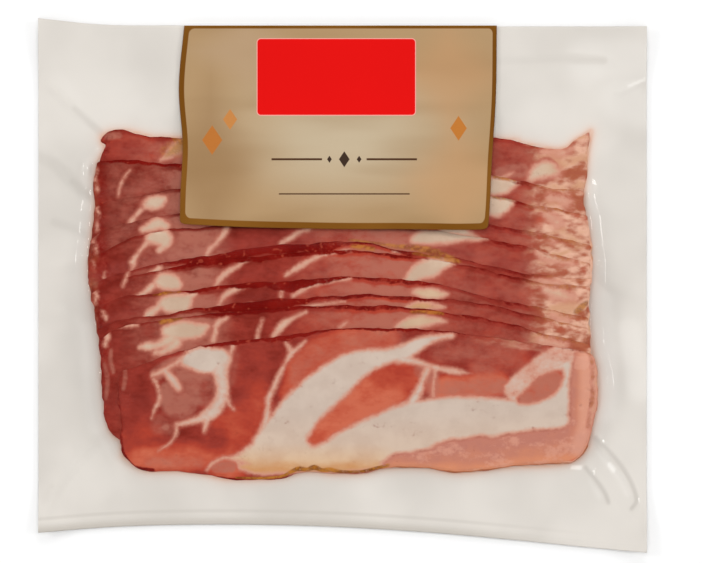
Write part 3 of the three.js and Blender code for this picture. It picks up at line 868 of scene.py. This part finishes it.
def make_label():
    """The label: a thin closed sheet over the upper third that bridges the steps of the slices under it. Its
    UV map gives the place on the print, in units of 100 mm from its lower left corner, and from_edge the
    distance in mm to its outline, with round corners: a radius less how deep the place lies in the corner."""
    u, v = shares(LABEL_GRID, (0.0, 0.0))
    left, right = (across(curve(mix(*LABEL_ROWS, v), edge)) for edge in (LABEL_LEFT, LABEL_RIGHT))
    inset = corner_inset(v * LABEL_HEIGHT, LABEL_CUT)
    x = mix(left + inset, right - inset, u)
    low, high = up(curve(column_at(x), LABEL_BOTTOM)), up(LABEL_ROWS[1])
    y = mix(low, high, v)
    z = margin_lift(x, y) + WEB + LABEL_GAP + tent_height(x, y, LABEL_TENT)
    side = np.maximum(LABEL_ROUND - np.minimum(x - left, BORDER_RIGHT * (right - x)), 0.0)
    end = np.maximum(LABEL_ROUND - np.minimum(BORDER_BOTTOM * (y - low), high - y + BORDER_TOP), 0.0)
    label = grid_mesh("printed_label", x, y, z + LABEL, {"from_edge": LABEL_ROUND - np.hypot(side, end)}, z)
    place = np.stack((x - LABEL_CORNER[0], y - LABEL_CORNER[1]), axis=-1).reshape(-1, 2) * 0.01
    corner = np.empty(len(label.data.loops), dtype=np.int32)
    label.data.loops.foreach_get("vertex_index", corner)
    spread = np.tile(place, (2, 1))[corner].astype(np.float32).ravel()
    label.data.uv_layers.new(name="print").data.foreach_set("uv", spread)
    return label


def colour(code):
    """An sRGB colour in hex to linear RGBA: the inverse of the sRGB curve, channel by channel."""
    srgb = np.array([int(code[i:i + 2], 16) for i in (0, 2, 4)]) / 255.0
    linear = np.where(srgb <= 0.04045, srgb / 12.92, ((srgb + 0.055) / 1.055) ** 2.4)
    return (*linear.tolist(), 1.0)


def add(tree, kind, sockets=None, **settings):
    """Adds a node, sets its fields, then its sockets: a node's output is linked, any other value is set."""
    node = tree.nodes.new("ShaderNode" + kind)
    for field, value in settings.items():
        setattr(node, field, value)
    for key, value in (sockets or {}).items():
        if isinstance(value, bpy.types.NodeSocket):
            tree.links.new(value, node.inputs[key])
        else:
            node.inputs[key].default_value = value
    return node


def math(tree, operation, *values):
    """One step of arithmetic on sockets or numbers, as a node's output."""
    return add(tree, "Math", dict(enumerate(values)), operation=operation).outputs[0]


def times(tree, first, second):
    """The product of two sockets or numbers."""
    return math(tree, "MULTIPLY", first, second)


def shift(tree, value, *waves):
    """A value moved by noises, given as (noise, size): by up to half of the size either way."""
    for wave, size in waves:
        value = math(tree, "ADD", value, times(tree, math(tree, "SUBTRACT", wave, 0.5), size))
    return value


def vector(tree, operation, *values):
    """One step of arithmetic on places. A length or a dot product is a number, the rest are places."""
    node = add(tree, "VectorMath", dict(enumerate(values)), operation=operation)
    return node.outputs["Value" if operation in ("LENGTH", "DOT_PRODUCT") else "Vector"]


def blend(tree, amount, first, second):
    """The first colour where amount is 0 and the second where it is 1. A colour is a hex code or a socket."""
    first, second = (colour(side) if isinstance(side, str) else side for side in (first, second))
    return add(tree, "Mix", {0: amount, 6: first, 7: second}, data_type="RGBA").outputs[2]


def span(tree, value, low, high):
    """0 at low and 1 at high, with an S-shaped rise between, as a node's output."""
    return add(tree, "MapRange", {0: value, 1: low, 2: high}, interpolation_type="SMOOTHSTEP").outputs[0]


def noise(tree, place, scale, detail=3.0, roughness=0.5):
    """Noise around a half, with that many features per metre, as a node's output."""
    sockets = {"Vector": place, "Scale": scale, "Detail": detail, "Roughness": roughness}
    return add(tree, "TexNoise", sockets).outputs[0]


def solid_place(tree):
    """The place on the piece in metres, as a node's output."""
    return add(tree, "TexCoord").outputs["Object"]


def turned(tree, place, angle, across_scale, up_scale):
    """A place turned about the vertical and stretched, so that noise on it runs in one direction."""
    sockets = {"Vector": place, "Rotation": (0, 0, angle), "Scale": (across_scale, up_scale, 1.0)}
    return add(tree, "Mapping", sockets).outputs[0]


def bump(tree, height, strength, distance):
    """A normal that follows a height in metres, as a node's output."""
    return add(tree, "Bump", {"Height": height, "Strength": strength, "Distance": distance}).outputs[0]


def attribute(tree, name):
    """A mark on the mesh by its name, as a node's output."""
    return add(tree, "Attribute", attribute_name=name).outputs["Fac"]


def new_material(name):
    """A new material, and its empty node tree."""
    material = bpy.data.materials.new(name)
    material.use_nodes = True
    material.node_tree.nodes.clear()
    return material, material.node_tree


def surface(tree, shader):
    """Makes a shader node what the material shows."""
    add(tree, "OutputMaterial", {"Surface": shader.outputs[0]})


def principled(tree, base, roughness, specular, **more):
    """Shows a surface by its colour, how rough it is and how strongly it mirrors."""
    sockets = {"Base Color": base, "Roughness": roughness, "Specular IOR Level": specular, **more}
    surface(tree, add(tree, "BsdfPrincipled", sockets))


def cured_pork():
    """Cured, smoked pork belly under film. The lean runs from dark brown red to orange red, with fibres along
    the slice. Fat starts where its signed distance passes zero, roughened by noise. It is pink at its edge
    and in thin veins, and pale where it is thick."""
    material, tree = new_material("cured smoked pork belly")
    tone, haze, fat, warm, pink, mottle, dark, rind = (
        attribute(tree, name) for name in ("tone", "haze", "fat", "warm", "pink", "mottle", "dark", "rind"))
    place = solid_place(tree)
    along_grain = turned(tree, place, 0.5, 0.55, 1.0)
    along_slice = turned(tree, place, 0.15, 0.55, 1.0)
    coarse = noise(tree, place, 130.0, 3.0, 0.55)
    fine = noise(tree, place, 600.0, 4.0, 0.6)
    fibre = noise(tree, along_grain, 800.0, 3.0, 0.6)
    middling = noise(tree, along_grain, 260.0, 3.0, 0.55)
    streaks = noise(tree, along_slice, 430.0, 3.0, 0.55)
    patches = noise(tree, along_slice, 200.0, 2.0, 0.5)

    ramp = add(tree, "ValToRGB", {0: shift(tree, tone, (coarse, 0.45), (middling, 0.35), (fibre, 0.22))})
    steps = ((0.0, "5C0F08"), (0.22, "7A2218"), (0.42, "96352A"), (0.62, "AE3F2D"), (0.82, "BE533B"),
             (1.0, "CA684D"))
    while len(ramp.color_ramp.elements) < len(steps):
        ramp.color_ramp.elements.new(0.5)
    for element, (position, code) in zip(ramp.color_ramp.elements, steps):
        element.position = position
        element.color = colour(code)
    fatty = times(tree, haze, shift(tree, 1.0, (middling, 1.8), (fine, 0.8)))
    body = blend(tree, times(tree, span(tree, fatty, 0.1, 0.85), 0.8), ramp.outputs[0], "B06C5B")

    bright = shift(tree, math(tree, "ADD", tone, 0.02), (streaks, 0.7), (patches, 1.4))
    streaky = blend(tree, span(tree, bright, 0.32, 0.70), "A85C42", "DFAE96")
    streaky = blend(tree, times(tree, span(tree, patches, 0.5, 0.68), 0.6), streaky, "C28C64")
    mottled = times(tree, mottle, shift(tree, 1.0, (patches, 1.8), (streaks, 1.2)))
    mottled = span(tree, mottled, 0.08, 0.92)
    body = blend(tree, mottled, body, streaky)
    soft_rim = blend(tree, shift(tree, tone, (coarse, 0.8), (middling, 0.8)), "BA7767", "D48865")
    rosy = span(tree, shift(tree, patches, (fine, 0.6)), 0.5, 0.72)
    soft_rim = blend(tree, times(tree, rosy, 0.6), soft_rim, "D89C86")
    soft_rim = blend(tree, times(tree, haze, 0.7), soft_rim, "DEA48E")
    body = blend(tree, pink, body, soft_rim)

    fat = shift(tree, fat, (fine, 1.3), (middling, 1.3), (coarse, 0.8))
    fat_in = span(tree, fat, 0.55, -0.62)
    body = blend(tree, times(tree, span(tree, fat, 1.2, 0.0), 0.55), body, "C07562")
    cloud = span(tree, coarse, 0.35, 0.65)
    thick = blend(tree, warm, blend(tree, cloud, "CFBCAE", "C8B4A6"), blend(tree, cloud, "DBB691", "D2A782"))
    thick = blend(tree, span(tree, shift(tree, warm, (middling, 0.4)), 0.72, 1.12), thick, "C98D58")
    thick = blend(tree, times(tree, haze, 0.35), thick, "A88468")
    body = blend(tree, fat_in, body, blend(tree, span(tree, fat, -0.1, -1.7), "CF947F", thick))

    crust = blend(tree, span(tree, shift(tree, middling, (fine, 0.7)), 0.38, 0.62), "7C420E", "B8762E")
    body = blend(tree, times(tree, rind, span(tree, fine, 0.2, 0.5)), body, crust)
    beads = span(tree, noise(tree, place, 620.0, 1.0, 0.4), 0.62, 0.74)
    smoke = blend(tree, times(tree, beads, 0.5), blend(tree, cloud, "6A0501", "7E1007"), "B04A35")
    smoke = blend(tree, mottled, smoke, blend(tree, span(tree, fine, 0.42, 0.58), "94492F", "AE6A45"))
    dark = shift(tree, dark, (fine, 1.2), (middling, 1.2))
    body = blend(tree, span(tree, dark, 0.18, 0.92), body, smoke)

    height = math(tree, "ADD", times(tree, fibre, 0.5), times(tree, fat_in, 0.4))
    principled(tree, body, 0.5, 0.03, Normal=bump(tree, height, 0.35, 0.0002))
    return material


def milky_web():
    """The milky white web under the pack. Close to the stack it is tinted reddish, partly by the meat's juice
    and partly by painted light that the meat spills onto it. It carries painted shade along its creases,
    painted glints, and painted light where the stack shades it. Along its lower edge is the sealed band: a
    soft line of painted shade along its crease, and below it a band that darkens towards the edge, partly the
    seam and partly painted shade where the edge bends, and has fine ribs. The darkening fades out to the
    right."""
    material, tree = new_material("milky white packing film")
    place = solid_place(tree)
    cloud = noise(tree, place, 28.0, 3.0, 0.5)
    light, from_bottom = attribute(tree, "light"), attribute(tree, "from_bottom")
    body = blend(tree, span(tree, cloud, 0.3, 0.7), "D3CDC6", "E0DAD3")
    # Painted shade and painted light on the margin: darker along creases, lighter for glints and where the
    # stack shades the web
    body = blend(tree, span(tree, light, 0.5, -0.2), body, "A8A199")
    body = blend(tree, span(tree, light, 0.5, 1.2), body, "FAF6F1")
    # A reddish tint near the stack: partly the meat's juice, partly painted reddish light that the meat
    # spills onto the web
    tint_and_painted_light = times(tree, attribute(tree, "juice_and_spilled_light"), span(tree, cloud, 0.0, 0.6))
    body = blend(tree, times(tree, tint_and_painted_light, 0.9), body, "DCA384")
    left_part = span(tree, add(tree, "SeparateXYZ", {0: place}).outputs[0], 0.095, 0.03)
    # Painted shade: a soft line along the crease above the sealed band, and the band itself darkening towards
    # the edge, partly the seam and partly painted shade where the edge bends
    crease_shade_line = times(tree, span(tree, from_bottom, 3.6, 4.5), span(tree, from_bottom, 5.6, 4.7))
    seam_and_edge_shade = span(tree, from_bottom, 3.8, 0.0)
    darker = times(tree, math(tree, "MAXIMUM", times(tree, crease_shade_line, 0.4), seam_and_edge_shade), left_part)
    body = blend(tree, times(tree, darker, 0.9), body, "BFB8AF")
    ribs = times(tree, math(tree, "SINE", times(tree, from_bottom, 6.0)), seam_and_edge_shade)
    principled(tree, body, 0.42, 0.4, Normal=bump(tree, ribs, 0.12, 0.0002))
    return material


def clear_film():
    """Clear vacuum film: it lets nearly all light through and mirrors more at grazing angles. The mirrored
    share is 0.02 plus 0.5 times the fifth power of how far the film is turned from the eye."""
    material, tree = new_material("clear vacuum film")
    ripple = bump(tree, noise(tree, solid_place(tree), 160.0, 3.0, 0.5), 0.3, 0.0006)
    clear = add(tree, "BsdfTransparent", {"Color": (0.985, 0.985, 0.98, 1.0)})
    gloss = add(tree, "BsdfGlossy", {"Color": (1.0, 1.0, 1.0, 1.0), "Roughness": 0.09, "Normal": ripple})
    facing = add(tree, "LayerWeight", {"Blend": 0.5, "Normal": ripple}).outputs["Facing"]
    share = math(tree, "MULTIPLY_ADD", math(tree, "POWER", facing, 5.0), 0.5, 0.02)
    surface(tree, add(tree, "MixShader", {0: share, 1: clear.outputs[0], 2: gloss.outputs[0]}))
    return material


def round_box(tree, place, centre, half, radius):
    """Signed distance in units of 100 mm from a place on the label to a box with round corners: the length of
    what sticks out past the box less its radius, less the radius."""
    away = vector(tree, "ABSOLUTE", vector(tree, "SUBTRACT", place, (*centre, 0.0)))
    past = vector(tree, "SUBTRACT", away, (half[0] - radius, half[1] - radius, 0.0))
    outside = vector(tree, "MAXIMUM", past, (0, 0, 0))
    return math(tree, "SUBTRACT", vector(tree, "LENGTH", outside), radius)


def lozenge(tree, place, centre, half):
    """A diamond shape as a number: the sum of the shares of its half width and half height, less one."""
    from_middle = vector(tree, "SUBTRACT", place, (*centre, 0.0))
    away = vector(tree, "ABSOLUTE", vector(tree, "MULTIPLY", from_middle, (1 / half[0], 1 / half[1], 0.0)))
    return math(tree, "SUBTRACT", vector(tree, "DOT_PRODUCT", away, (1, 1, 0)), 1.0)


def printed_paper():
    """The printed label: a brown border, a tan ground with a paler middle, a plain red field, and a small
    ornament of diamonds and thin rules. It has no lettering. Over the print lie soft bands of painted shade
    where the label is gently folded, and a patch of painted shade at its lower left."""
    material, tree = new_material("coated paper, printed")
    place = add(tree, "UVMap", uv_map="print").outputs[0]
    solid = solid_place(tree)
    cloud = noise(tree, solid, 22.0, 2.0, 0.5)
    from_middle = vector(tree, "SUBTRACT", place, (0.55, 0.32, 0.0))
    away = vector(tree, "LENGTH", vector(tree, "MULTIPLY", from_middle, (1.6, 2.6, 0.0)))
    ground = blend(tree, span(tree, shift(tree, away, (cloud, 0.35)), 0.10, 0.85), "BCAA8E", "AB8C66")
    # Soft bands of painted shade where the label is gently folded
    fold_shade = noise(tree, turned(tree, solid, 0.1, 0.35, 1.6), 40.0, 2.0, 0.5)
    ground = blend(tree, times(tree, span(tree, fold_shade, 0.42, 0.72), 0.5), ground, "94754F")
    # Faint printed patches; the dark one at the lower left is painted shade
    for centre, half, code in PRINT_PATCHES_AND_SHADE:
        tint_and_painted_light = span(tree, lozenge(tree, place, centre, half), 0.9, -0.6)
        ground = blend(tree, times(tree, tint_and_painted_light, 0.55), ground, code)
    for centre, half, code in DIAMONDS:
        ground = blend(tree, span(tree, lozenge(tree, place, centre, half), 0.05, -0.05), ground, code)
    for centre, half, code in RULES:
        rule = round_box(tree, place, centre, half, 0.001)
        ground = blend(tree, span(tree, rule, 0.001, -0.001), ground, code)
    field = round_box(tree, place, *FIELD, 0.012)
    ground = blend(tree, span(tree, field, 0.0035, 0.0015), ground, "F0A49A")
    ground = blend(tree, span(tree, field, 0.001, -0.001), ground, blend(tree, cloud, "D50402", "DE0604"))
    border = blend(tree, span(tree, cloud, 0.3, 0.7), "6E4207", "7E5016")
    ground = blend(tree, span(tree, attribute(tree, "from_edge"), 1.95, 1.65), ground, border)
    principled(tree, ground, 0.55, 0.12)
    return material


def pale_floor():
    """A plain, nearly white floor that is wide enough for every view."""
    sides = (-3000.0, 3000.0)
    x, y = np.meshgrid(sides, sides)
    floor = grid_mesh("floor", x, y, np.zeros_like(x))
    material, tree = new_material("pale studio floor")
    principled(tree, (0.92, 0.92, 0.92, 1.0), 0.9, 0.1)
    floor.data.materials.append(material)


def soft_light(name, place, size, watts, mirrored=True):
    """A large square lamp at place, in metres, that faces the pack. Gloss mirrors it if mirrored is true."""
    lamp = bpy.data.lights.new(name, "AREA")
    lamp.shape = "SQUARE"
    lamp.size = size
    lamp.energy = watts
    holder = placed(bpy.data.objects.new(name, lamp))
    holder.visible_glossy = mirrored
    holder.location = place
    holder.rotation_euler = (-Vector(place)).to_track_quat("-Z", "Y").to_euler()


def studio_walls():
    """The room round the pack: pale walls under a dark ceiling. Their brightness falls with the square of the
    height of the direction that is looked in."""
    world = bpy.data.worlds.new("studio")
    world.use_nodes = True
    tree = world.node_tree
    height = add(tree, "SeparateXYZ", {0: add(tree, "TexCoord").outputs["Generated"]}).outputs[2]
    square = math(tree, "POWER", math(tree, "ABSOLUTE", height), 2.0)
    background = tree.nodes["Background"]
    background.inputs[0].default_value = (1.0, 1.0, 1.0, 1.0)
    tree.links.new(math(tree, "MULTIPLY_ADD", square, -0.75, 0.85), background.inputs[1])
    bpy.context.scene.world = world


def camera_above():
    """A long lens straight above, so that one pixel of the picture is PIXEL mm of the pack."""
    distance, sensor = 1.5, 36.0
    lens = bpy.data.cameras.new("camera")
    lens.sensor_width = sensor
    lens.lens = sensor * distance / (PICTURE[0] * PIXEL * 0.001)
    lens.clip_end = 50.0
    holder = placed(bpy.data.objects.new("camera", lens))
    holder.location = (across(PICTURE[0] / 2) * 0.001, up(PICTURE[1] / 2) * 0.001, distance + 0.004)
    bpy.context.scene.camera = holder


pork = cured_pork()
for number in range(1, len(UPPER) + 1):
    piece = slice_sheet(number)
    piece.data.materials.append(pork)
    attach(piece, "root")
    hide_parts(f"bacon_slice_{number:02d}")

back_film, front_film = make_films()
back_film.data.materials.append(milky_web())
front_film.data.materials.append(clear_film())
for piece in (back_film, front_film):
    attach(piece, "root")
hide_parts("film_pouch")

label = make_label()
label.data.materials.append(printed_paper())
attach(label, "root")
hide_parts("front_label")

pale_floor()
soft_light("overhead lamp", (0.0, 0.0, 2.2), 2.0, 19.5, mirrored=False)
soft_light("left lamp", (-1.5, 0.4, 0.9), 0.4, 6.5)
soft_light("right lamp", (1.5, 0.2, 0.9), 0.4, 5.5)
soft_light("upper lamp", (0.1, 1.6, 0.9), 1.0, 8.0, mirrored=False)
soft_light("lower lamp", (0.0, -1.6, 0.9), 0.5, 4.0)
studio_walls()
bpy.context.scene.view_settings.view_transform = "Standard"
camera_above()
